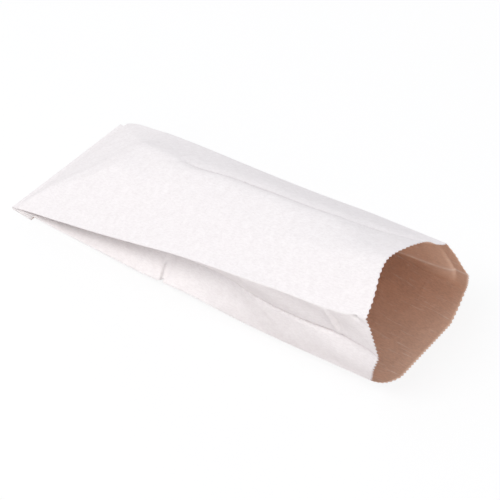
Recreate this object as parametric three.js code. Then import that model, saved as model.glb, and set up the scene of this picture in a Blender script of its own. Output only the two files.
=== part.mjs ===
// A side-gusseted paper sandwich bag lying on its back panel, its mouth open towards +X.
// The sheet is one closed solid: a folded tube of paper, flattened and turned under at the
// closed end, opening towards a mouth with a pinked edge. Millimetres, +Z up.
import * as THREE from "three";

// The bag as it leaves the maker, flat.
const bagWidth = 133; // front and back panel, crease to crease
const gussetHalf = 38; // one half of a side gusset, valley crease to edge crease
const bagLength = 355; // bottom fold to the tips of the pinked edge
const flapLength = 20; // what is turned under at the closed end
const paperThickness = 0.15;

// Folds.
const plyPitch = 0.4; // folded plies lie this far apart, centre to centre
const flapGap = 0.5; // air between the turned flap and the back panel, at its sides
const endSag = 0.15; // the shut end sags this much in the middle
const flapRamp = 32; // length over which the back panel comes down off the flap
const glueLine = 6; // from the bottom fold to where the inside of the bag begins
const baseCurl = 30; // width of the strip of the back panel that curls up to each side crease

// Pinked mouth.
const toothPitch = 3;
const toothDepth = 0.8;
const toothBand = 2.5; // from the last full section to the tips

// The opened shape. Each row is a share of the length from the bottom fold and the place of a
// crease there: across, in bag widths from the middle, and up, in full gusset depths
// (in bag widths for the creases of the back panel). A smooth cubic joins the rows.
const nearTopCrease = along([
  [0, -0.5, 0], [0.053, -0.499, 0.07], [0.135, -0.496, 0.196], [0.269, -0.481, 0.354], [0.402, -0.481, 0.551],
  [0.535, -0.481, 0.749], [0.67, -0.496, 0.94], [0.8, -0.466, 1.03], [0.93, -0.429, 1.1], [1, -0.394, 1.154],
]);
const nearBaseCrease = along([
  [0, -0.5, 0], [0.127, -0.47, 0.012], [0.254, -0.458, 0.03], [0.38, -0.451, 0.052], [0.507, -0.421, 0.067],
  [0.634, -0.384, 0.046], [0.76, -0.361, 0.06], [0.887, -0.353, 0.105], [1, -0.337, 0.131],
]);
const farTopCrease = along([
  [0, 0.5, 0], [0.043, 0.497, 0.105], [0.143, 0.485, 0.275], [0.275, 0.447, 0.452], [0.405, 0.436, 0.551],
  [0.535, 0.436, 0.63], [0.665, 0.421, 0.749], [0.795, 0.421, 0.854], [0.925, 0.406, 0.959], [1, 0.399, 1.016],
]);
const farBaseLift = along([[0, 0], [0.127, 0.015], [0.38, 0.035], [0.76, 0.045], [1, 0.045]]);

// The front panel bends along two lines. Each is placed by its share of the way from the near
// crease to the far one and by its rise above the line between them, in bag widths.
const nearCrown = along([
  [0, 0.03, 0], [0.05, 0.094, 0.034], [0.1, 0.214, 0.053], [0.16, 0.33, 0.09], [0.226, 0.443, 0.136],
  [0.27, 0.44, 0.135], [0.402, 0.38, 0.13], [0.535, 0.34, 0.122], [0.67, 0.31, 0.125], [0.8, 0.29, 0.145],
  [0.93, 0.31, 0.19], [1, 0.33, 0.21],
]);
const farCrown = along([
  [0, 0.97, 0], [0.05, 0.93, 0.01], [0.1, 0.865, 0.031], [0.16, 0.8, 0.062], [0.226, 0.711, 0.1225],
  [0.27, 0.7, 0.133], [0.402, 0.623, 0.178], [0.535, 0.62, 0.188], [0.67, 0.59, 0.195], [0.8, 0.6, 0.185],
  [0.93, 0.74, 0.105], [1, 0.92, 0.028],
]);
const crownRoundness = along([[0, 0.05], [0.226, 0.12], [0.5, 0.22], [0.76, 0.28], [1, 0.5]]);

// The side gussets fold in less than their depth near the mouth, where they are pulled tight.
const nearReach = along([[0, 1], [0.5, 1], [0.76, 0.985], [1, 0.945]]);
const farReach = along([[0, 1], [0.6, 1], [1, 0.99]]);

// How far the cut edge stands forward (or back) at its creases, because they bend near the mouth.
const mouthLead = { nearValley: 4.5, nearBase: -7, farValley: 4.5, farBase: -7 };

// A short buckle runs across the lower half of the near gusset, pressed in towards the inside.
const buckle = { at: 0.44, halfWidth: 6, depth: 2.5 };

// Sections along the bag and columns round it.
const shoulder = 0.226; // share of the length taken by the slope at the closed end
const shoulderSteps = 9;
const bodySteps = 16;
const foldSteps = 5;
const columns = { nearCrown: 4, middle: 6, farCrown: 4, gusset: 4, curl: 4, base: 5 };

const stackHeight = 3 * plyPitch + paperThickness; // four plies lying on each other
const foldRadius = stackHeight + flapGap / 2;
const loftLength = bagLength - foldRadius;

function along(rows) {
  const interpolant = new THREE.CubicInterpolant(
    rows.map((row) => row[0]),
    rows.flatMap((row) => row.slice(1)),
    rows[0].length - 1,
  );
  return (share) => Array.from(interpolant.evaluate(share));
}

// Paper used by a strip that rises smoothly from the flat by the given height.
function curlLength(rise) {
  return Math.hypot(baseCurl, rise * Math.sqrt(4 / 3));
}

// The valley crease of a gusset lies at the gusset's half depth from both of its edge creases.
// It leans with them only as far as the gusset is open: shut, it lies level between its plies.
function valley(top, base, inward, reach) {
  const span = top.clone().sub(base);
  const depth = Math.sqrt(Math.max((gussetHalf * reach) ** 2 - span.lengthSq() / 4, 0));
  const open = Math.min(span.length() / (2 * gussetHalf), 1);
  const into = new THREE.Vector3(0, span.z, -span.y * open).normalize().multiplyScalar(inward * depth);
  return top.clone().add(base).multiplyScalar(0.5).add(into);
}

// A crease is a narrow strip between two panels, one ply pitch wide, so a shut fold keeps its
// plies apart. Returns the strip's two edges, in the order in which the section is walked.
function crease(before, corner, after, side) {
  const across = before.clone().sub(corner).normalize().sub(after.clone().sub(corner).normalize());
  across.z += side * 0.02;
  across.normalize().multiplyScalar(plyPitch / 2);
  return [corner.clone().add(across), corner.clone().sub(across)];
}

function straight(from, to, steps) {
  return Array.from({ length: steps }, (_, k) => from.clone().lerp(to, k / steps));
}

// The middle line of the paper at one share of the length, walked over the front panel from the
// near side to the far side, down the far gusset, back along the base and up the near gusset.
function section(share) {
  const distance = share * loftLength;
  const shut = 1 - THREE.MathUtils.smoothstep(distance, flapLength, flapLength + flapRamp);
  const base = paperThickness / 2 + shut * (stackHeight + flapGap);
  const place = ([across, up], unit, plies) =>
    new THREE.Vector3(0, across * bagWidth, base + plies * plyPitch + up * unit);

  const nearTop = place(nearTopCrease(share), 2 * gussetHalf, 2.5);
  const farTop = place(farTopCrease(share), 2 * gussetHalf, 2.5);
  const nearBase = place(nearBaseCrease(share), bagWidth, 0.5);
  const nearRise = nearBaseCrease(share)[1] * bagWidth;
  const farRise = farBaseLift(share)[0] * bagWidth;
  const flat = bagWidth - curlLength(nearRise) - curlLength(farRise);
  const farBase = new THREE.Vector3(0, nearBase.y + flat + 2 * baseCurl, base + plyPitch / 2 + farRise);
  const nearValley = valley(nearTop, nearBase, 1, nearReach(share)[0]);
  const farValley = valley(farTop, farBase, -1, farReach(share)[0]);
  const corners = { nearValley, nearBase, farValley, farBase };
  for (const [name, lead] of Object.entries(mouthLead)) corners[name].x = lead * share ** 5;

  const chord = farTop.clone().sub(nearTop);
  const rise = new THREE.Vector3(0, -chord.z, chord.y).normalize();
  const crown = ([way, up]) =>
    nearTop.clone().addScaledVector(chord, way).addScaledVector(rise, up * bagWidth + plyPitch / 2);
  const nearRidge = crown(nearCrown(share));
  const farRidge = crown(farCrown(share));

  const [nearTopSide, nearTopFront] = crease(nearValley, nearTop, nearRidge, -1);
  const [farTopFront, farTopSide] = crease(farRidge, farTop, farValley, 1);
  const [farValleyTop, farValleyBase] = crease(farTop, farValley, farBase, 1);
  const flatFar = new THREE.Vector3(0, farBase.y - baseCurl, base);
  const flatNear = new THREE.Vector3(0, nearBase.y + baseCurl, base);
  const [farBaseSide, farBaseBack] = crease(farValley, farBase, flatFar, 1);
  const [nearBaseBack, nearBaseSide] = crease(flatNear, nearBase, nearValley, -1);
  const [nearValleyBase, nearValleyTop] = crease(nearBase, nearValley, nearTop, -1);

  const front = new THREE.CatmullRomCurve3(
    [nearTopFront, nearRidge, farRidge, farTopFront], false, "catmullrom", crownRoundness(share)[0],
  );
  const bend = (part, steps) => Array.from({ length: steps }, (_, k) => front.getPoint((part + k / steps) / 3));
  const curl = (from, to) => straight(from, to, columns.curl).map((point, k) => {
    const left = 1 - k / columns.curl;
    return point.setZ(to.z + (from.z - to.z) * left * left);
  });

  const ring = [
    ...bend(0, columns.nearCrown), ...bend(1, columns.middle), ...bend(2, columns.farCrown), farTopFront,
    ...straight(farTopSide, farValleyTop, columns.gusset), farValleyTop,
    ...straight(farValleyBase, farBaseSide, columns.gusset), farBaseSide,
    ...curl(farBaseBack, flatFar), ...straight(flatFar, flatNear, columns.base), flatNear,
    ...curl(nearBaseBack, flatNear).reverse(),
    ...straight(nearBaseSide, nearValleyBase, columns.gusset), nearValleyBase,
    ...straight(nearValleyTop, nearTopSide, columns.gusset), nearTopSide,
  ];
  const press = buckle.depth * Math.max(1 - Math.abs(share - buckle.at) * loftLength / buckle.halfWidth, 0);
  const lowerGusset = ring.length - 2 * (columns.gusset + 1);
  for (let k = 1; k < columns.gusset; k++) ring[lowerGusset + k].y += press * Math.sin((Math.PI * k) / columns.gusset);
  return ring.map(({ x, y, z }) => new THREE.Vector3(x, y, z - shut * endSag * Math.max(1 - (2 * y / bagWidth) ** 2, 0)));
}

// One face of the paper: the middle line moved by half the thickness, out (1) or in (-1).
function face(ring, outward) {
  return ring.map((point, k) => {
    const before = point.clone().sub(ring.at(k - 1)).setX(0).normalize();
    const after = ring[(k + 1) % ring.length].clone().sub(point).setX(0).normalize();
    const mitre = new THREE.Vector3(0, -before.z - after.z, before.y + after.y);
    mitre.multiplyScalar((outward * paperThickness) / 2 / (1 + before.dot(after)));
    return point.clone().add(mitre);
  });
}

// Sections of the opened bag. Paper does not stretch, so a column that rises comes less far along.
function loft() {
  const shares = [
    0, glueLine / loftLength,
    ...Array.from({ length: shoulderSteps }, (_, k) => THREE.MathUtils.lerp(glueLine / loftLength, shoulder, (k + 1) / shoulderSteps)),
    ...Array.from({ length: bodySteps }, (_, k) => THREE.MathUtils.lerp(shoulder, 1 - toothBand / loftLength, (k + 1) / bodySteps)),
    ...[-1, 0, 1].map((side) => buckle.at + (side * buckle.halfWidth) / loftLength),
    1,
  ].sort((a, b) => a - b);
  const rings = shares.map(section);
  const reached = rings[0].map(() => foldRadius);
  rings.forEach((ring, k) => ring.forEach((point, column) => {
    if (k > 0) {
      const step = (shares[k] - shares[k - 1]) * loftLength;
      const rise = Math.min(Math.abs(point.z - rings[k - 1][column].z), 0.9 * step);
      reached[column] += Math.sqrt(step * step - rise * rise);
    }
    point.x += reached[column];
  }));
  return rings;
}

// The last section cut with pinking shears: whole teeth in each column, none in a crease strip.
function pinked(ring, teeth) {
  return ring.flatMap((point, k) => {
    const next = ring[(k + 1) % ring.length];
    const cuts = Math.max(2 * teeth[k], 1);
    return Array.from({ length: cuts }, (_, cut) => {
      const edge = point.clone().lerp(next, cut / cuts);
      return cut % 2 ? edge : edge.setX(edge.x - toothDepth);
    });
  });
}

function bagGeometry() {
  const vertices = [];
  const triangles = [];
  const add = (ring) => {
    const first = vertices.length / 3;
    ring.forEach((point) => vertices.push(point.x, point.y, point.z));
    return ring.map((_, k) => first + k);
  };
  const quad = (a, b, c, d) => triangles.push(a, b, c, a, c, d);
  const stitch = (start, end, outward) => start.forEach((a, k) => {
    const next = (k + 1) % start.length;
    if (outward) quad(a, end[k], end[next], start[next]);
    else quad(a, start[next], end[next], end[k]);
  });
  // Closes a flat section, its triangles turning the way the ring does (1) or against it (-1).
  const close = (indices, outline, turn) => {
    const flat = outline.map((point) => new THREE.Vector2(point.y, point.z));
    THREE.ShapeUtils.triangulateShape(flat, []).forEach(([a, b, c]) => {
      const clockwise = THREE.ShapeUtils.area([flat[a], flat[b], flat[c]]) < 0 ? 1 : -1;
      triangles.push(indices[a], ...(clockwise === turn ? [indices[b], indices[c]] : [indices[c], indices[b]]));
    });
  };

  const rings = loft();
  const outer = rings.map((ring) => face(ring, 1));
  const inner = rings.map((ring) => face(ring, -1));

  // The closed end turns under about a line below the back panel and lies flat against it.
  const shut = outer[0];
  const turned = (angle, along) => shut.map((point) => {
    const arm = point.z - (stackHeight + flapGap / 2);
    return new THREE.Vector3(
      foldRadius + along - arm * Math.sin(angle), point.y, stackHeight + flapGap / 2 + arm * Math.cos(angle),
    );
  });
  const outside = [
    turned(Math.PI, flapLength),
    ...Array.from({ length: foldSteps }, (_, k) => turned(Math.PI * (1 - k / foldSteps), 0)),
    ...outer.slice(0, -1),
  ].map(add);
  const inside = inner.slice(1, -1).map(add);
  outside.slice(1).forEach((ring, k) => stitch(outside[k], ring, true));
  inside.slice(1).forEach((ring, k) => stitch(inside[k], ring, false));
  close(outside[0], shut, 1);
  close(inside[0], inner[1], -1);

  // Pinked edge: each column of the last section fans out to its teeth.
  const mouth = rings.at(-1);
  const teeth = mouth.map((point, k) => Math.round(point.distanceTo(mouth[(k + 1) % mouth.length]) / toothPitch));
  const tips = [outer, inner].map((faces) => add(pinked(faces.at(-1), teeth)));
  const fan = (ring, edge, outward) => {
    let cut = 0;
    ring.forEach((a, k) => {
      const b = ring[(k + 1) % ring.length];
      const cuts = Math.max(2 * teeth[k], 1);
      const half = Math.floor(cuts / 2);
      const at = (step) => edge[(cut + step) % edge.length];
      const push = (p, q, r) => triangles.push(...(outward ? [p, q, r] : [p, r, q]));
      for (let step = 0; step < cuts; step++) push(step < half ? a : b, at(step), at(step + 1));
      push(a, at(half), b);
      cut += cuts;
    });
  };
  fan(outside.at(-1), tips[0], true);
  fan(inside.at(-1), tips[1], false);
  stitch(tips[0], tips[1], true);

  const geometry = new THREE.BufferGeometry();
  geometry.setAttribute("position", new THREE.Float32BufferAttribute(vertices, 3));
  geometry.setIndex(triangles);
  geometry.computeVertexNormals();
  return geometry;
}

const group = new THREE.Group();
const paper = new THREE.MeshStandardMaterial({ name: "bleached_paper", color: 0xf3f1f0, roughness: 0.85, metalness: 0 });
const bag = new THREE.Mesh(bagGeometry(), paper);
bag.name = "paper_bag";
bag.geometry.computeBoundingBox();
const { min, max } = bag.geometry.boundingBox;
bag.position.set(-(min.x + max.x) / 2, -(min.y + max.y) / 2, -min.z);
group.add(bag);

export default group;
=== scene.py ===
import math
import bpy
import numpy as np
from mathutils import Matrix, Vector


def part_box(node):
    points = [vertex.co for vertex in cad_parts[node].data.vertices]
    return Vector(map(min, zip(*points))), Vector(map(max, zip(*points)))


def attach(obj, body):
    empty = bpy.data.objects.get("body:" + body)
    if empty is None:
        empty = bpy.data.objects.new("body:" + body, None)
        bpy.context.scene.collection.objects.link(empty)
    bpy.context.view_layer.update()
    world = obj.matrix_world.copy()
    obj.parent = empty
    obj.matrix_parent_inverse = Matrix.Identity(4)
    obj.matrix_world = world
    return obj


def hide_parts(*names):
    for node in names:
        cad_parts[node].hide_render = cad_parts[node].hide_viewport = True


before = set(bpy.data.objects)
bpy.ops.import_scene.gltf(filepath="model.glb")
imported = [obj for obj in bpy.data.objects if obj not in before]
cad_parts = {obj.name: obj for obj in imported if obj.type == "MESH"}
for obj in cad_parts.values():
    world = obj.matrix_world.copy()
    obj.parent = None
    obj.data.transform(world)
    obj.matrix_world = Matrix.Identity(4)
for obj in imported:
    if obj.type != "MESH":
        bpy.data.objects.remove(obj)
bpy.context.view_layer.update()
bag_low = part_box("paper_bag")[0]

# The camera stands a little over a metre off, above the near side gusset, and looks down at
# the bag from its mouth end. Its place is given from the middle of the bag's closed end, in
# millimetres, and that end's place from the low corner of the bag's box.
END_BEFORE_BOX = 0.078
BOX_SIDE_TO_MIDDLE = 66.579
CLOSED_END = Vector((bag_low.x * 1000 - END_BEFORE_BOX, bag_low.y * 1000 + BOX_SIDE_TO_MIDDLE, 0.0))
CAMERA_PLACE = Vector((713.01, -647.65, 862.68))
CAMERA_TURN = math.radians(38.47)
CAMERA_TILT = math.radians(45.40)
camera_data = bpy.data.cameras.new("studio_camera")
camera_data.lens = 108.3
camera_data.sensor_width = 36.0
camera = bpy.data.objects.new("studio_camera", camera_data)
bpy.context.collection.objects.link(camera)
bpy.context.scene.camera = camera
ahead = Vector((
    -math.sin(CAMERA_TURN) * math.cos(CAMERA_TILT),
    math.cos(CAMERA_TURN) * math.cos(CAMERA_TILT),
    -math.sin(CAMERA_TILT),
))
right = Vector((math.cos(CAMERA_TURN), math.sin(CAMERA_TURN), 0.0))
above = right.cross(ahead)
turn = Matrix((right, above, -ahead)).transposed().to_4x4()
camera.matrix_world = Matrix.Translation((CLOSED_END + CAMERA_PLACE) / 1000) @ turn

# The bag: one sheet of thin bleached kraft, folded into a tube with a gusset in each side,
# cut with pinking shears at the mouth, and glued and turned under at the closed end. It lies
# on its back panel and keeps the shape that its contents gave it.
BAG_WIDTH = 133.0
GUSSET_HALF = 38.0
BAG_LENGTH = 355.0
FLAP_LENGTH = 20.0
PAPER = 0.15
PLY_PITCH = 0.4
FLAP_GAP = 0.5
FLAP_RAMP = 32.0
END_SAG = 0.15
BASE_CURL = 30.0
STACK = 3 * PLY_PITCH + PAPER
FOLD_RADIUS = STACK + FLAP_GAP / 2
LOFT = BAG_LENGTH - FOLD_RADIUS

# Places of the creases along the bag: share of the length, across in bag widths, up in gusset
# depths (in bag widths for the back panel's creases). The front panel's two bends are given
# along the chord between the top creases and off it, in chords and in bag widths, and its
# roundness between them. Each reach is how much of its half depth a gusset still folds to.
NEAR_TOP = [
    (0, -0.5, 0), (0.053, -0.499, 0.07), (0.135, -0.496, 0.196), (0.269, -0.481, 0.354),
    (0.402, -0.481, 0.551), (0.535, -0.481, 0.749), (0.67, -0.496, 0.94), (0.8, -0.466, 1.03),
    (0.93, -0.429, 1.1), (1, -0.394, 1.154),
]
NEAR_BASE = [
    (0, -0.5, 0), (0.127, -0.47, 0.012), (0.254, -0.458, 0.03), (0.38, -0.451, 0.052),
    (0.507, -0.421, 0.067), (0.634, -0.384, 0.046), (0.76, -0.361, 0.06), (0.887, -0.353, 0.105),
    (1, -0.337, 0.131),
]
FAR_TOP = [
    (0, 0.5, 0), (0.043, 0.497, 0.105), (0.143, 0.485, 0.275), (0.275, 0.447, 0.452),
    (0.405, 0.436, 0.551), (0.535, 0.436, 0.63), (0.665, 0.421, 0.749), (0.795, 0.421, 0.854),
    (0.925, 0.406, 0.959), (1, 0.399, 1.016),
]
FAR_BASE_LIFT = [(0, 0), (0.127, 0.015), (0.38, 0.035), (0.76, 0.045), (1, 0.045)]
NEAR_CROWN = [
    (0, 0.03, 0), (0.05, 0.094, 0.034), (0.1, 0.214, 0.053), (0.16, 0.33, 0.09), (0.226, 0.443, 0.136),
    (0.27, 0.44, 0.135), (0.402, 0.38, 0.13), (0.535, 0.34, 0.122), (0.67, 0.31, 0.125),
    (0.8, 0.29, 0.145), (0.93, 0.31, 0.19), (1, 0.33, 0.21),
]
FAR_CROWN = [
    (0, 0.97, 0), (0.05, 0.93, 0.01), (0.1, 0.865, 0.031), (0.16, 0.8, 0.062), (0.226, 0.711, 0.1225),
    (0.27, 0.7, 0.133), (0.402, 0.623, 0.178), (0.535, 0.62, 0.188), (0.67, 0.59, 0.195),
    (0.8, 0.6, 0.185), (0.93, 0.74, 0.105), (1, 0.9, 0.05),
]
CROWN_ROUNDNESS = [(0, 0.05), (0.226, 0.12), (0.5, 0.22), (0.76, 0.28), (1, 0.44)]
NEAR_REACH = [(0, 1), (0.5, 1), (0.76, 0.985), (1, 0.945)]
FAR_REACH = [(0, 1), (0.6, 1), (1, 0.99)]

# How far each corner of the mouth lies ahead of a square cut, in millimetres, and how much
# further out the near valley lies, and less deep the far one, than an even fold puts them.
MOUTH_LEAD = {"near_valley": 4.5, "near_base": -7.0, "far_valley": 4.5, "far_base": -7.0}
NEAR_EASE, NEAR_EASE_GROWS, NEAR_EASE_LOST, NEAR_EASE_FADES = 7.5, (0.1, 0.4), 0.3, (0.75, 1)
FAR_EASE, FAR_EASE_GROWS = 0.55, (0.4, 0.9)

# Columns of points round the bag: over the front panel's three runs, down each half gusset,
# and over the two curled edges and the flat middle of the back panel.
CROWN_COLUMNS = (22, 28, 20)
FAR_GUSSET_COLUMNS = 16
NEAR_GUSSET_COLUMNS = 32
CURL_COLUMNS = 14
BASE_COLUMNS = 40


def along(rows, share):
    """Cubic through the rows: each span is a Hermite curve whose end slopes are those of the
    parabola through a row and its two neighbours, with no curvature at the two ends."""
    rows = np.array(rows, float)
    at, value = rows[:, 0], rows[:, 1:]
    gap = np.diff(at)[:, None]
    slope = np.diff(value, axis=0) / gap
    tangent = np.empty_like(value)
    tangent[1:-1] = (slope[:-1] * gap[1:] + slope[1:] * gap[:-1]) / (gap[:-1] + gap[1:])
    tangent[0] = (3 * slope[0] - tangent[1]) / 2
    tangent[-1] = (3 * slope[-1] - tangent[-2]) / 2
    span = np.clip(np.searchsorted(at, share, side="right") - 1, 0, len(at) - 2)
    t = ((share - at[span]) / gap[span, 0])[:, None]
    return (
        (1 + 2 * t) * (1 - t) ** 2 * value[span] + t * (1 - t) ** 2 * gap[span] * tangent[span]
        + t * t * (3 - 2 * t) * value[span + 1] + t * t * (t - 1) * gap[span] * tangent[span + 1]
    )


def unit(vector):
    """Vectors divided by their lengths."""
    return vector / np.linalg.norm(vector, axis=-1, keepdims=True)


def smooth_step(value, low, high):
    """0 below low, 1 above high, and 3t^2 - 2t^3 between them."""
    t = np.clip((value - low) / (high - low), 0, 1)
    return t * t * (3 - 2 * t)


def line(start, end, steps):
    """Points from start towards end at equal steps, the end left out: (station, step, axis)."""
    t = (np.arange(steps) / steps)[None, :, None]
    return start[:, None] * (1 - t) + end[:, None] * t


def valley(top, base, inward, reach):
    """The valley crease: off the middle of its gusset by the height of the triangle whose two
    sides are the gusset's half depth, leaning with it only as far as the gusset is open."""
    span = top - base
    length = np.linalg.norm(span[:, 1:], axis=1)
    depth = np.sqrt(np.maximum((GUSSET_HALF * reach) ** 2 - length ** 2 / 4, 0))
    lean = np.minimum(length / (2 * GUSSET_HALF), 1)
    into = unit(np.stack([0 * lean, span[:, 2], -span[:, 1] * lean], 1))
    return (top + base) / 2 + inward * depth[:, None] * into


def crease(before, corner, after, side):
    """The two edges of a crease, half a ply pitch either way along the difference of the unit
    vectors to the points before and after it, with a trace of height where it is shut."""
    trace = 0.02
    across = unit(before - corner) - unit(after - corner)
    across[:, 2] += side * trace
    across = unit(across) * PLY_PITCH / 2
    return corner + across, corner - across


def front_panel(knots, roundness, columns):
    """Catmull-Rom curve through four knots: a cubic for each span, with end slopes that are
    roundness times the chord between a knot's neighbours, and never longer than 1.2 spans."""
    longest = 1.2
    first = knots[0] * 2 - knots[1]
    last = knots[3] * 2 - knots[2]
    points = [first, *knots, last]
    runs = []
    for k, steps in enumerate(columns):
        a, b = points[k + 1][:, None], points[k + 2][:, None]
        slope_a = (points[k + 2] - points[k])[:, None] * roundness[:, :, None]
        slope_b = (points[k + 3] - points[k + 1])[:, None] * roundness[:, :, None]
        reach = np.linalg.norm(b - a, axis=2, keepdims=True)
        slope_a, slope_b = (
            slope * np.minimum(1, longest * reach / np.linalg.norm(slope, axis=2, keepdims=True))
            for slope in (slope_a, slope_b))
        t = (np.arange(steps) / steps)[None, :, None]
        runs.append(
            (2 * t**3 - 3 * t**2 + 1) * a + (t**3 - 2 * t**2 + t) * slope_a
            + (3 * t**2 - 2 * t**3) * b + (t**3 - t**2) * slope_b
        )
    return np.concatenate(runs, 1)


def curl_length(rise):
    """Length of a curled edge of the back panel, a parabola: the root of the curl's width
    squared plus four thirds of its rise squared."""
    return np.hypot(BASE_CURL, rise * math.sqrt(4 / 3))


def curl(start, end):
    """A curled edge: across at equal steps, and up as the square of what is left to go."""
    run = line(start, end, CURL_COLUMNS)
    left = (1 - np.arange(CURL_COLUMNS) / CURL_COLUMNS)[None] ** 2
    run[:, :, 2] = end[:, None, 2] + (start - end)[:, None, 2] * left
    return run


def sections(share):
    """Middle line of the paper at each share of the length: (station, column, axis), walked
    over the front panel, down the far gusset, back along the base and up the near gusset."""
    shut = 1 - smooth_step(share * LOFT, FLAP_LENGTH, FLAP_LENGTH + FLAP_RAMP)
    base = PAPER / 2 + shut * (STACK + FLAP_GAP)

    def place(rows, depth, plies):
        """A crease's course: across in bag widths, and up from the base in its own depths."""
        value = along(rows, share)
        up = base + plies * PLY_PITCH + value[:, 1] * depth
        return np.stack([0 * base, value[:, 0] * BAG_WIDTH, up], 1)

    near_top = place(NEAR_TOP, 2 * GUSSET_HALF, 2.5)
    far_top = place(FAR_TOP, 2 * GUSSET_HALF, 2.5)
    near_base = place(NEAR_BASE, BAG_WIDTH, 0.5)
    near_rise = near_base[:, 2] - base - PLY_PITCH / 2
    far_rise = along(FAR_BASE_LIFT, share)[:, 0] * BAG_WIDTH
    flat = BAG_WIDTH - curl_length(near_rise) - curl_length(far_rise)
    far_base_across = near_base[:, 1] + flat + 2 * BASE_CURL
    far_base = np.stack([0 * base, far_base_across, base + PLY_PITCH / 2 + far_rise], 1)

    near_valley = valley(near_top, near_base, 1, along(NEAR_REACH, share)[:, 0])
    out = NEAR_EASE * smooth_step(share, *NEAR_EASE_GROWS)
    near_valley[:, 1] -= out * (1 - NEAR_EASE_LOST * smooth_step(share, *NEAR_EASE_FADES))
    far_valley = valley(far_top, far_base, -1, along(FAR_REACH, share)[:, 0])
    middle = (far_top + far_base) / 2
    kept = 1 - FAR_EASE * smooth_step(share, *FAR_EASE_GROWS)
    far_valley = middle + (far_valley - middle) * kept[:, None]
    corners = {
        "near_valley": near_valley, "near_base": near_base, "far_valley": far_valley, "far_base": far_base,
    }
    for name, lead in MOUTH_LEAD.items():
        corners[name][:, 0] = lead * share**5

    chord = far_top - near_top
    rise = unit(np.stack([0 * base, -chord[:, 2], chord[:, 1]], 1))

    def crown(rows):
        """A bend of the front panel: along the chord between the top creases, and off it."""
        value = along(rows, share)
        return near_top + chord * value[:, :1] + rise * (value[:, 1:] * BAG_WIDTH + PLY_PITCH / 2)

    near_ridge, far_ridge = crown(NEAR_CROWN), crown(FAR_CROWN)
    flat_far = np.stack([0 * base, far_base[:, 1] - BASE_CURL, base], 1)
    flat_near = np.stack([0 * base, near_base[:, 1] + BASE_CURL, base], 1)
    near_top_side, near_top_front = crease(near_valley, near_top, near_ridge, -1)
    far_top_front, far_top_side = crease(far_ridge, far_top, far_valley, 1)
    far_valley_top, far_valley_base = crease(far_top, far_valley, far_base, 1)
    far_base_side, far_base_back = crease(far_valley, far_base, flat_far, 1)
    near_base_back, near_base_side = crease(flat_near, near_base, near_valley, -1)
    near_valley_base, near_valley_top = crease(near_base, near_valley, near_top, -1)

    front_knots = [near_top_front, near_ridge, far_ridge, far_top_front]
    ring = np.concatenate([
        front_panel(front_knots, along(CROWN_ROUNDNESS, share), CROWN_COLUMNS), far_top_front[:, None],
        line(far_top_side, far_valley_top, FAR_GUSSET_COLUMNS), far_valley_top[:, None],
        line(far_valley_base, far_base_side, FAR_GUSSET_COLUMNS), far_base_side[:, None],
        curl(far_base_back, flat_far), line(flat_far, flat_near, BASE_COLUMNS), flat_near[:, None],
        curl(near_base_back, flat_near)[:, ::-1],
        line(near_base_side, near_valley_base, NEAR_GUSSET_COLUMNS), near_valley_base[:, None],
        line(near_valley_top, near_top_side, NEAR_GUSSET_COLUMNS), near_top_side[:, None],
    ], 1)
    ring[:, :, 2] -= (shut * END_SAG)[:, None] * np.maximum(1 - (2 * ring[:, :, 1] / BAG_WIDTH) ** 2, 0)
    return ring


# Rows of points along the bag, closer together where the paper is creased: near the closed
# end, at the near gusset's kink and at the mouth. Each is a row's number and its place.
SHOULDER = 0.226 * LOFT
TOOTH_BAND = 2.5
ROW_PLACES = [
    (0, 0), (3, 2), (14, 12), (52, SHOULDER), (76, 147), (98, 169), (141, 296),
    (188, LOFT - TOOTH_BAND), (189, LOFT),
]
row_number, row_place = np.array(ROW_PLACES).T
share = np.interp(np.arange(ROW_PLACES[-1][0] + 1), row_number, row_place / LOFT)
rings = sections(share)

# The lip, glued flat, at the closed end: it widens towards the far side, and the front panel
# rises from it. What a row climbs is taken off its step along the bag.
LIP_NEAR, LIP_FAR = 2.5, 6.5
LIP_RISE = (-1, 4)
STEEPEST = 0.9
lip = LIP_NEAR + (LIP_FAR - LIP_NEAR) * (rings[:, :, 1] / BAG_WIDTH + 0.5)
lift = smooth_step(share[:, None] * LOFT - lip, *LIP_RISE)
rings[:, :, 2] = rings[0, :, 2] + (rings[:, :, 2] - rings[0, :, 2]) * lift
step = (np.diff(share) * LOFT)[:, None]
climb = np.minimum(np.abs(np.diff(rings[:, :, 2], axis=0)), STEEPEST * step)
reached = np.concatenate([np.full((1, rings.shape[1]), FOLD_RADIUS), np.sqrt(step**2 - climb**2)]).cumsum(0)
rings[:, :, 0] += reached

# Where each point lies on the sheet: distance is how far along the bag and around how far
# round it, from the near upper crease over the front panel, in millimetres. Below, the pair
# of numbers after distance says from where to where along the bag a thing grows or fades.
count = rings.shape[1]
distance = np.repeat(share[:, None] * LOFT, count, 1)
chords = np.linalg.norm(np.diff(rings[:, :, 1:], axis=1), axis=2)
around = np.concatenate([np.zeros((len(share), 1)), chords.cumsum(1)], 1)
ridge = sum(CROWN_COLUMNS[:2])
front_end = sum(CROWN_COLUMNS)
far_valley_at = front_end + 1 + FAR_GUSSET_COLUMNS
back_start = far_valley_at + FAR_GUSSET_COLUMNS + 2
near_base_at = back_start + 2 * CURL_COLUMNS + BASE_COLUMNS + 1
near_valley_at = near_base_at + NEAR_GUSSET_COLUMNS
column_number = np.arange(count)
on_front = column_number <= front_end
on_back = (column_number >= back_start) & (column_number < near_base_at)
on_near_side = column_number >= near_base_at
on_lower = on_near_side & (column_number <= near_valley_at)
on_upper = column_number > near_valley_at
part_way = np.zeros(count)
for first, last in [
    (0, front_end), (front_end + 1, far_valley_at), (far_valley_at + 1, back_start - 1),
    (near_base_at, near_valley_at), (near_valley_at + 1, count - 1),
]:
    part_way[first:last + 1] = np.linspace(0, 1, last - first + 1)


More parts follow.
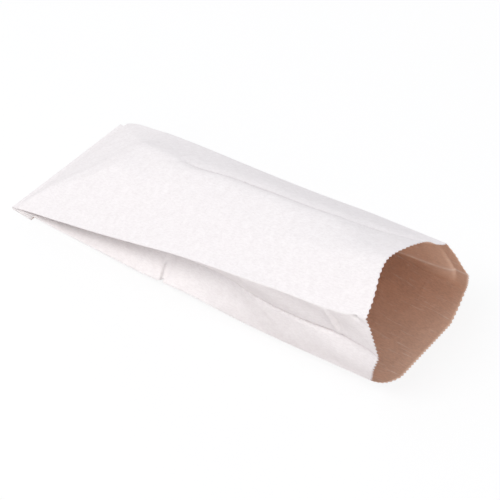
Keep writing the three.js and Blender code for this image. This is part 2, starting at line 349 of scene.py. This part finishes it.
def off_column(column, reach):
    """1 on a column and e to the minus distance round the sheet over reach away from it."""
    return np.exp(-np.abs(around - around[:, column:column + 1]) / reach)


def soften(softness, rounds):
    """Each point is moved towards the middle of its two neighbours round the bag by its
    softness, again and again."""
    for _ in range(rounds):
        rings[:] += softness * ((np.roll(rings, 1, 1) + np.roll(rings, -1, 1)) / 2 - rings)


# The bends of the front panel are soft once the bag is open, and the near upper crease
# rounds off just before the mouth.
FAR_BEND_COLUMNS, FAR_BEND_SOFTNESS = 8, 0.5
NEAR_BEND_COLUMNS, NEAR_BEND_SOFTNESS = 7, 0.35
CORNER_COLUMNS, CORNER_SOFTNESS = 4, 0.6
BEND_ROUNDS, CORNER_ROUNDS = 22, 6
bend_softness = np.zeros((1, count, 1))
for bend, half, softness in [
    (ridge, FAR_BEND_COLUMNS, FAR_BEND_SOFTNESS), (CROWN_COLUMNS[0], NEAR_BEND_COLUMNS, NEAR_BEND_SOFTNESS),
]:
    bend_softness[:, bend - half:bend + half] = softness
soften(bend_softness * smooth_step(distance, 70, 110)[:, :, None], BEND_ROUNDS)
off_corner = np.minimum(column_number, count - column_number) / CORNER_COLUMNS
corner_softness = (CORNER_SOFTNESS * np.exp(-off_corner ** 2))[None, :, None]
soften(corner_softness * smooth_step(distance, 338, 351)[:, :, None], CORNER_ROUNDS)

# Where the near gusset is kinked, its lower half is pressed in.
KINK_AT, KINK_HALF_WIDTH, KINK_DEPTH = 0.44, 6.0, 2.5
press = KINK_DEPTH * np.maximum(1 - np.abs(share - KINK_AT) * LOFT / KINK_HALF_WIDTH, 0)
rings[:, :, 1] += press[:, None] * np.sin(np.pi * part_way) * on_lower

# Pinches at the creases themselves: the near valley is nipped sharp, the bottom crease is
# notched below the kink, the top crease is hooked in just short of the mouth, and the far
# corner of the mouth is cut back.
NIP_DEPTH, NIP_REACH = 3.0, 1.3
NOTCH_DEPTH, NOTCH_AT, NOTCH_LONG, NOTCH_REACH = 4.5, 154, 1.4, 5
HOOK_DEPTH, HOOK_AT, HOOK_LONG, HOOK_COLUMNS = 2.8, 343.5, 1.8, 2.5
CUT_BACK, CUT_REACH = 3.5, 14
nip = off_column(near_valley_at, NIP_REACH)
nip = nip * smooth_step(distance, 60, 150) * (1 - smooth_step(distance, 308, 332))
rings[:, :, 1] += NIP_DEPTH * nip * on_near_side
notch = np.exp(-((distance - NOTCH_AT) / NOTCH_LONG) ** 2) * off_column(near_base_at, NOTCH_REACH)
rings[:, :, 1] += NOTCH_DEPTH * notch
hook = np.exp(-((distance - HOOK_AT) / HOOK_LONG) ** 2)
hook = hook * np.exp(-np.abs(column_number - count + 1) / HOOK_COLUMNS)
rings[:, :, 1] += HOOK_DEPTH * hook * on_upper
cut = off_column(front_end, CUT_REACH) * smooth_step(distance, 290, 355)
rings[:, :, 0] -= CUT_BACK * cut * ~on_near_side


def fold_mark(start, end, depth, width):
    """A crease pressed into the sheet: depth times e to the minus gap over width, where the gap
    is taken from the straight line between two (distance, around) points. It is about a third
    less deep at its ends than in its middle."""
    end_loss = 0.35
    start, end = np.array(start, float), np.array(end, float)
    run = end - start
    t = np.clip(((distance - start[0]) * run[0] + (around - start[1]) * run[1]) / (run @ run), 0, 1)
    gap = np.hypot(distance - start[0] - t * run[0], around - start[1] - t * run[1])
    return depth * np.exp(-gap / width) * (1 - end_loss * np.abs(2 * t - 1))


def fold_step(start, end, depth, width):
    """A crease with one side sunk: as fold_mark, but only to the left of the line, which it
    leaves by a face under a millimetre wide."""
    start, end = np.array(start, float), np.array(end, float)
    run = end - start
    across = (distance - start[0]) * run[1] - (around - start[1]) * run[0]
    return fold_mark(start, end, depth, width) * smooth_step(-across / np.hypot(*run), -0.3, 0.5)


def at(where, column):
    """The (distance, around) place of a column at a distance along the bag."""
    nearest = np.abs(distance[:, 0] - where).argmin()
    return where, around[nearest, column]


# Relief of the sheet, outwards, in millimetres. The front panel has a ridge crease with one
# side steeper than the other and a short crease across the shoulder, and the near gusset's
# lower half swells towards the mouth.
RIDGE_DEPTH, RIDGE_NEAR, RIDGE_FAR, RIDGE_DRIFT = 4.4, 8, 11, 3.0
SHOULDER_HEIGHT, SHOULDER_REACH = 0.9, 3.0
SHOULDER_MIDDLE, SHOULDER_HALF, SHOULDER_FADE = 0.52, 0.09, 0.05
SWELL = 2.4
relief = np.zeros(distance.shape)
fold_at = ridge + 3
from_fold = around - around[:, fold_at:fold_at + 1] - RIDGE_DRIFT * smooth_step(distance, 270, 345)
ridge_crease = np.where(from_fold < 0, np.exp(from_fold / RIDGE_NEAR), np.exp(-from_fold / RIDGE_FAR))
relief -= RIDGE_DEPTH * ridge_crease * on_front * smooth_step(distance, 112, 150)
past_shoulder = np.maximum(np.abs(part_way - SHOULDER_MIDDLE) - SHOULDER_HALF, 0) / SHOULDER_FADE
shoulder_crease = np.exp(-np.abs(distance - SHOULDER) / SHOULDER_REACH) * np.exp(-past_shoulder ** 2)
relief += SHOULDER_HEIGHT * shoulder_crease * on_front
relief += SWELL * np.sin(np.pi * part_way) * on_lower * smooth_step(distance, 220, 330)

# Single creases: the panel, the kind of crease, its two ends as how far along and which
# column, its depth outwards and its width. They are, in order, the edge of the facet at the
# closed end, three at the start of the ridge and one at the mouth; the near gusset's kink, in
# two, and three further along it; and the buckle across the gusset's upper half, in two, and
# one below the hook.
for panel, kind, start, end, depth, width in [
    (on_front, fold_mark, (8, 2), (79, ridge - 1), 3.8, 11.0),
    (on_front, fold_mark, (118, ridge - 7), (140, fold_at), -0.9, 2.0),
    (on_front, fold_mark, (133, fold_at + 2), (170, fold_at + 11), -0.9, 1.6),
    (on_front, fold_mark, (120, fold_at + 6), (133, fold_at + 2), 0.6, 2.0),
    (on_front, fold_mark, (343, 1), (351, 4), -0.8, 1.6),
    (on_lower, fold_step, (150.5, near_base_at + 13), (153.5, near_base_at - 2), -5.0, 3.0),
    (on_lower, fold_mark, (149.5, near_base_at + 12), (146, near_base_at + 20), -2.4, 1.8),
    (on_lower, fold_mark, (236, near_base_at + 18), (240, near_base_at + 30), -1.6, 1.8),
    (on_lower, fold_mark, (262, near_base_at + 12), (250, near_base_at + 21), -1.1, 1.8),
    (on_lower, fold_mark, (205, near_base_at + 8), (222, near_base_at + 19), -0.9, 2.4),
    (on_upper, fold_mark, (321, count - 2), (318, near_valley_at + 2), 3.0, 1.4),
    (on_upper, fold_step, (323, count - 2), (320, near_valley_at + 2), -2.2, 6.0),
    (on_upper, fold_step, (341, count - 1), (348, count - 8), -3.6, 2.4),
]:
    relief += kind(at(*start), at(*end), depth, width) * panel

# Faint creases all over, and a slow waviness that the gussets show more than the front.
FAINT_CREASES, FAINT_DEPTH, FAINT_ON_FRONT, FAINT_MORE = 90, 0.3, 0.6, 0.8
WAVES, WAVE_HEIGHT, WAVE_MORE = 16, 0.09, 0.07
chance = np.random.default_rng(11)
for _ in range(FAINT_CREASES):
    start = np.array([chance.uniform(20, 350), chance.uniform(0, 420)])
    heading = chance.uniform(0, math.pi)
    end = start + chance.uniform(8, 34) * np.array([math.cos(heading), math.sin(heading)])
    faint = fold_mark(start, end, chance.uniform(-FAINT_DEPTH, FAINT_DEPTH), chance.uniform(1.5, 4))
    relief += faint * (FAINT_ON_FRONT + FAINT_MORE * ~on_front)
for _ in range(WAVES):
    wave = chance.uniform(0.02, 0.13, 2) * chance.choice([-1, 1], 2)
    ripple = np.sin(distance * wave[0] + around * wave[1] + chance.uniform(0, 6.3))
    relief += (WAVE_HEIGHT + WAVE_MORE * ~on_front) * ripple

# The tube's own glued seam runs along the back panel: one edge lies a ply above the other.
SEAM_COLUMNS = 8
seam = back_start + CURL_COLUMNS + BASE_COLUMNS // 2
rings[:, seam:seam + SEAM_COLUMNS, 2] += PAPER

# Painted shade along the folds, with a little wear of the crushed paper: both valleys, the ridge and
# the edge of the lip. On the lining the same mask is a painted highlight.
VALLEY_SHADING_WEAR_REACH, RIDGE_SHADING_WEAR_REACH = 1.1, 0.8
LIP_SHADING_WEAR, LIP_SHADING_WEAR_OFF, LIP_SHADING_WEAR_REACH, LIP_CLEAR = 0.8, 0.5, 0.7, 8
far_shading_wear, near_shading_wear = (off_column(column, VALLEY_SHADING_WEAR_REACH) for column in (far_valley_at, near_valley_at))
ridge_shading_wear = np.exp(-np.abs(from_fold) / RIDGE_SHADING_WEAR_REACH) * on_front * smooth_step(distance, 125, 160)
fold_shading_wear = np.maximum(np.maximum(far_shading_wear, near_shading_wear), ridge_shading_wear)
fold_shading_wear *= smooth_step(distance, LIP_FAR, LIP_FAR + LIP_CLEAR)
lip_shading_wear = np.exp(-np.abs(distance - lip - LIP_SHADING_WEAR_OFF) / LIP_SHADING_WEAR_REACH)
fold_shading_wear = np.maximum(fold_shading_wear, lip_shading_wear * LIP_SHADING_WEAR * on_front)

# The relief stands off the sheet, out along its normal. It dies away at the folds between
# panels, on the back panel, and near the closed end, where the plies lie on one another.
between_creases = np.where(on_back, 0, np.sin(np.pi * part_way) ** 0.5)
open_enough = np.where(on_front, smooth_step(distance, 6, 26), smooth_step(distance, 45, 120))
tangent_along = np.gradient(rings, axis=0)
tangent_round = np.roll(rings, -1, 1) - np.roll(rings, 1, 1)
outward = unit(np.cross(tangent_along, tangent_round))
rings += outward * (relief * open_enough * between_creases)[:, :, None]

# The mouth is pinked: each other point of its edge is drawn back, and on the near gusset,
# whose columns are closer together, two points in each three.
TOOTH_DEPTH = 1.1
NEAR_TOOTH = np.array([0.0, 1.7, 0.85])
tooth = np.where(on_near_side, NEAR_TOOTH[column_number % 3], column_number % 2)
rings[-1, :, 0] -= TOOTH_DEPTH * tooth

# The closed end turns under about a line below the back panel: eight steps round the fold,
# and the flap's own end.
TURN_STEPS = 8
turned = []
for angle, run in [
    (math.pi, FLAP_LENGTH), *((math.pi * (1 - k / TURN_STEPS), 0.0) for k in range(TURN_STEPS)),
]:
    arm = rings[0, :, 2] - (STACK + FLAP_GAP / 2)
    turned.append(np.stack([
        FOLD_RADIUS + run - arm * math.sin(angle), rings[0, :, 1],
        STACK + FLAP_GAP / 2 + arm * math.cos(angle),
    ], 1))
sheet = np.concatenate([np.array(turned), rings])

rows, columns = sheet.shape[:2]
points = (sheet.reshape(-1, 3) + np.array(CLOSED_END)) / 1000
row, column = np.meshgrid(np.arange(rows - 1), np.arange(columns), indexing="ij")
after = (column + 1) % columns
quads = np.stack([
    row * columns + column, (row + 1) * columns + column,
    (row + 1) * columns + after, row * columns + after,
], -1).reshape(-1, 4)
bag_mesh = bpy.data.meshes.new("bag")
bag_mesh.from_pydata(points.tolist(), [], quads.tolist())
bag_mesh.update()
bag = bpy.data.objects.new("bag", bag_mesh)
bpy.context.collection.objects.link(bag)
bag_mesh.polygons.foreach_set("use_smooth", np.ones(len(quads), bool))

# The paper's own map: metres round the bag and metres along it, so that fibres follow the
# sheet. The last column wraps to the first, one step further on. The mask of painted fold shading
# and wear goes with it.
MAP_MARGIN = 0.03
flap_run = FOLD_RADIUS + FLAP_LENGTH
turned_along = np.array([-flap_run, *(-FOLD_RADIUS * (1 - k / TURN_STEPS) for k in range(TURN_STEPS))])
map_v = np.concatenate([np.repeat(turned_along[:, None], columns, 1), distance]) / 1000 + MAP_MARGIN
map_u = np.concatenate([np.repeat(around[:1], len(turned), 0), around])
map_end = np.concatenate([map_u, map_u[:, -1:] + PLY_PITCH], 1) / 1000
sheet_map = bag_mesh.uv_layers.new(name="sheet_map")
corner_u = np.stack([
    map_end[row, column], map_end[row + 1, column], map_end[row + 1, column + 1], map_end[row, column + 1],
], -1)
corner_v = np.stack([
    map_v[row, column], map_v[row + 1, column], map_v[row + 1, after], map_v[row, after],
], -1)
sheet_map.data.foreach_set("uv", np.stack([corner_u, corner_v], -1).ravel())
shading_wear_layer = bag_mesh.attributes.new("shading_wear", "FLOAT", "POINT")
shading_wear_layer.data.foreach_set("value", np.concatenate([np.zeros((len(turned), columns)), fold_shading_wear]).ravel())

wall = bag.modifiers.new("paper_thickness", "SOLIDIFY")
wall.thickness = PAPER / 1000
wall.offset = 0.0
wall.material_offset = 1
wall.material_offset_rim = 0


def socket(tree, label, way, kind, value=None):
    """One named input or output of a node group."""
    made = tree.interface.new_socket(name=label, in_out=way, socket_type=kind)
    if value is not None:
        made.default_value = value


def node(tree, kind, inputs=(), **settings):
    """A node with its settings made and its inputs either linked or given a value."""
    made = tree.nodes.new(kind)
    for name, value in settings.items():
        setattr(made, name, value)
    for key, value in dict(inputs).items():
        if isinstance(value, bpy.types.NodeSocket):
            tree.links.new(value, made.inputs[key])
        else:
            made.inputs[key].default_value = value
    return made


def math_node(tree, operation, first, second):
    """One step of arithmetic on two values."""
    return node(tree, "ShaderNodeMath", {0: first, 1: second}, operation=operation).outputs[0]


def between(tree, share, first, second):
    """The colour that lies a share of the way from the first to the second."""
    return node(tree, "ShaderNodeMix", {0: share, 6: first, 7: second}, data_type="RGBA").outputs[2]


# What paper looks like close up: clouds of thicker and thinner pulp, short fibres that lie
# along the sheet, a few dark specks of bark, and fine crumple lines.
stock = bpy.data.node_groups.new("paper_stock", "ShaderNodeTree")
socket(stock, "Place", "INPUT", "NodeSocketVector")
socket(stock, "Cloud scale", "INPUT", "NodeSocketFloat", 150.0)
socket(stock, "Fibre scale", "INPUT", "NodeSocketFloat", 900.0)
socket(stock, "Clouds", "OUTPUT", "NodeSocketFloat")
socket(stock, "Fibres", "OUTPUT", "NodeSocketFloat")
socket(stock, "Specks", "OUTPUT", "NodeSocketFloat")
socket(stock, "Crumple", "OUTPUT", "NodeSocketFloat")
given = stock.nodes.new("NodeGroupInput")
put_out = stock.nodes.new("NodeGroupOutput")
clouds = node(stock, "ShaderNodeTexNoise", {
    "Vector": given.outputs["Place"], "Scale": given.outputs["Cloud scale"], "Detail": 4.0,
    "Roughness": 0.6})
drawn_out = node(stock, "ShaderNodeMapping", {"Vector": given.outputs["Place"], "Scale": (1.0, 0.35, 1.0)})
fibres = node(stock, "ShaderNodeTexNoise", {
    "Vector": drawn_out.outputs[0], "Scale": given.outputs["Fibre scale"], "Detail": 5.0, "Roughness": 0.7,
    "Distortion": 0.6})
grains = node(stock, "ShaderNodeTexNoise", {
    "Vector": given.outputs["Place"], "Scale": 1100.0, "Detail": 2.0, "Roughness": 0.5})
specks = node(stock, "ShaderNodeMapRange", {
    "Value": grains.outputs[0], "From Min": 0.66, "From Max": 0.76})
bent = node(stock, "ShaderNodeTexNoise", {"Vector": given.outputs["Place"], "Scale": 30.0, "Detail": 3.0})
bend = node(stock, "ShaderNodeVectorMath", {0: bent.outputs["Color"], "Scale": 0.02}, operation="SCALE")
moved = node(
    stock, "ShaderNodeVectorMath", {0: given.outputs["Place"], 1: bend.outputs[0]}, operation="ADD")
crumple = node(stock, "ShaderNodeTexVoronoi", {
    "Vector": moved.outputs[0], "Scale": 42.0}, feature="DISTANCE_TO_EDGE")
pinched = node(stock, "ShaderNodeMapRange", {
    "Value": crumple.outputs["Distance"], "From Min": 0.0, "From Max": 0.16, "To Min": 1.0, "To Max": 0.0},
    interpolation_type="SMOOTHSTEP")
stock.links.new(clouds.outputs[0], put_out.inputs["Clouds"])
stock.links.new(fibres.outputs[0], put_out.inputs["Fibres"])
stock.links.new(specks.outputs[0], put_out.inputs["Specks"])
stock.links.new(pinched.outputs[0], put_out.inputs["Crumple"])


def paper_finish(name, light, dark, speck_and_fold_shading_colour, clouding, streaked, sheen, roughness):
    """Paper colour from light to dark by the clouds and fibres, then specks, then the mark colour on the
    folds, where it is painted shade on the kraft and a painted highlight on the lining, with a little
    wear, and in long streaks, with a bump of fibres and crumple lines."""
    material = bpy.data.materials.new(name)
    material.use_nodes = True
    tree = material.node_tree
    shader = tree.nodes["Principled BSDF"]
    place = node(tree, "ShaderNodeUVMap", uv_map="sheet_map")
    grain = node(tree, "ShaderNodeGroup", node_tree=stock)
    tree.links.new(place.outputs[0], grain.inputs["Place"])
    grain.inputs["Cloud scale"].default_value = clouding
    cloud = node(tree, "ShaderNodeMapRange", {
        "Value": grain.outputs["Clouds"], "From Min": 0.32, "From Max": 0.68, "To Max": 0.42})
    fibre = node(tree, "ShaderNodeMapRange", {
        "Value": grain.outputs["Fibres"], "From Min": 0.42, "From Max": 0.6, "To Max": 0.58})
    shade = math_node(tree, "ADD", cloud.outputs[0], fibre.outputs[0])
    body = between(tree, shade, light, dark)
    specked = between(tree, math_node(tree, "MULTIPLY", grain.outputs["Specks"], 0.4), body, speck_and_fold_shading_colour)
    # Lighter streaks along the sheet, in the mark colour; only the lining has them.
    stretched = node(tree, "ShaderNodeMapping", {"Vector": place.outputs[0], "Scale": (1.0, 0.07, 1.0)})
    streak_noise = node(tree, "ShaderNodeTexNoise", {
        "Vector": stretched.outputs[0], "Scale": 520.0, "Detail": 3.0, "Roughness": 0.6, "Distortion": 1.2})
    streaks = node(tree, "ShaderNodeMapRange", {
        "Value": streak_noise.outputs[0], "From Min": 0.6, "From Max": 0.7, "To Max": streaked})
    # The folds' mask: painted shade on the kraft and a painted highlight on the lining, with a little wear.
    shading_wear = node(tree, "ShaderNodeAttribute", attribute_name="shading_wear")
    fibred_shading_wear = math_node(tree, "MULTIPLY", shading_wear.outputs["Fac"], fibre.outputs[0])
    marked = math_node(tree, "ADD", fibred_shading_wear, math_node(tree, "MULTIPLY", shading_wear.outputs["Fac"], 0.25))
    folded = between(tree, math_node(tree, "ADD", marked, streaks.outputs[0]), specked, speck_and_fold_shading_colour)
    tree.links.new(folded, shader.inputs["Base Color"])
    rough = node(tree, "ShaderNodeMapRange", {
        "Value": shade, "To Min": roughness - 0.07, "To Max": roughness + 0.07})
    tree.links.new(rough.outputs[0], shader.inputs["Roughness"])
    fibre_height = math_node(tree, "MULTIPLY", grain.outputs["Fibres"], 0.00022)
    cloud_height = math_node(tree, "MULTIPLY", grain.outputs["Clouds"], 0.0005)
    crumple_height = math_node(tree, "MULTIPLY", grain.outputs["Crumple"], 0.00025)
    height = math_node(tree, "ADD", fibre_height, math_node(tree, "ADD", cloud_height, crumple_height))
    bump = node(tree, "ShaderNodeBump", {"Height": height, "Strength": 0.55, "Distance": 1.0})
    tree.links.new(bump.outputs[0], shader.inputs["Normal"])
    shader.inputs["Specular IOR Level"].default_value = sheen
    return material


# The kraft: its dark mark colour is the colour of its bark specks, and on its folds painted shade with a
# little wear.
bag.data.materials.append(paper_finish(
    "bleached_kraft", light=(0.922, 0.889, 0.88, 1), dark=(0.833, 0.793, 0.784, 1),
    speck_and_fold_shading_colour=(0.62, 0.55, 0.55, 1), clouding=150.0, streaked=0.0, sheen=0.3, roughness=0.72))
# The lining: its taupe-brown is partly its own colour and partly painted warm bounce light from the
# sandwich that filled the bag. Its light mark colour paints highlights on its folds and gives light specks
# and streaks along the sheet.
bag.data.materials.append(paper_finish(
    "lining_and_painted_bounce", light=(0.86, 0.575, 0.42, 1), dark=(0.68, 0.44, 0.32, 1),
    speck_and_fold_shading_colour=(0.97, 0.84, 0.76, 1), clouding=45.0, streaked=0.6, sheen=0.5, roughness=0.38))
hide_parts("paper_bag")
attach(bag, "root")

# The studio: a pale floor that runs out of sight, a broad soft light over the near side, two
# weaker ones beyond the far side and before the mouth, and an even white surround. Floor and
# surround are white to the eye and greyer in the light that they give the bag.
FLOOR_HALF = 8
FLOOR_BOUNCE, FLOOR_SEEN, FLOOR_GLOW = (0.72, 0.68, 0.672, 1), (0.97, 0.97, 0.97, 1), 0.85
AIR_COLOUR, AIR_LIGHT, WHITE = (0.93, 0.945, 1, 1), 0.64, (1, 1, 1, 1)


def seen_directly(tree):
    """1 for a ray from the camera, off a gloss or through glass, and 0 for light on its way to
    the bag: the greatest of those three Light Path outputs."""
    ray = node(tree, "ShaderNodeLightPath")
    mirrored = math_node(tree, "MAXIMUM", ray.outputs["Is Glossy Ray"], ray.outputs["Is Transmission Ray"])
    return math_node(tree, "MAXIMUM", ray.outputs["Is Camera Ray"], mirrored)


def soft_lamp(name, place, aim, size, power, colour):
    """A square area lamp at place, turned so that it faces aim."""
    data = bpy.data.lights.new(name, "AREA")
    data.shape = "SQUARE"
    data.size = size
    data.energy = power
    data.color = colour
    lamp = bpy.data.objects.new(name, data)
    bpy.context.collection.objects.link(lamp)
    lamp.location = place
    lamp.rotation_mode = "QUATERNION"
    lamp.rotation_quaternion = (Vector(aim) - Vector(place)).to_track_quat("-Z", "Y")


floor_mesh = bpy.data.meshes.new("floor")
floor_mesh.from_pydata([
    (-FLOOR_HALF, -FLOOR_HALF, 0), (FLOOR_HALF, -FLOOR_HALF, 0),
    (FLOOR_HALF, FLOOR_HALF, 0), (-FLOOR_HALF, FLOOR_HALF, 0),
], [], [(0, 1, 2, 3)])
floor = bpy.data.objects.new("floor", floor_mesh)
bpy.context.collection.objects.link(floor)
floor_paint = bpy.data.materials.new("studio_floor")
floor_paint.use_nodes = True
floor.data.materials.append(floor_paint)
paint = floor_paint.node_tree
matte = paint.nodes["Principled BSDF"]
seen = seen_directly(paint)
paint.links.new(between(paint, seen, FLOOR_BOUNCE, FLOOR_SEEN), matte.inputs["Base Color"])
matte.inputs["Roughness"].default_value = 1.0
glow = node(paint, "ShaderNodeEmission", {"Strength": 1.0})
glow_share = math_node(paint, "MULTIPLY", seen, FLOOR_GLOW)
finish = node(paint, "ShaderNodeMixShader", {0: glow_share, 1: matte.outputs[0], 2: glow.outputs[0]})
paint.links.new(finish.outputs[0], paint.nodes["Material Output"].inputs["Surface"])

world = bpy.data.worlds.new("studio_surround")
bpy.context.scene.world = world
world.use_nodes = True
air = world.node_tree
surround = air.nodes["Background"]
seen = seen_directly(air)
strength = node(air, "ShaderNodeMapRange", {"Value": seen, "To Min": AIR_LIGHT, "To Max": 1.0})
air.links.new(between(air, seen, AIR_COLOUR, WHITE), surround.inputs["Color"])
air.links.new(strength.outputs["Result"], surround.inputs["Strength"])

soft_lamp(
    "key_lamp", place=(-0.5, -1.1, 1.75), aim=(-0.05, 0, 0.05), size=0.9, power=21.5,
    colour=(1.0, 0.985, 0.975))
soft_lamp(
    "far_lamp", place=(0.3, 1.9, 1.0), aim=(0.05, 0, 0.05), size=1.2, power=5,
    colour=(0.94, 0.96, 1.0))
soft_lamp(
    "mouth_lamp", place=(1.4, -0.3, 0.12), aim=(0.15, 0, 0.05), size=0.3, power=4.2,
    colour=(1.0, 0.97, 0.93))

bpy.context.scene.view_settings.view_transform = "Standard"
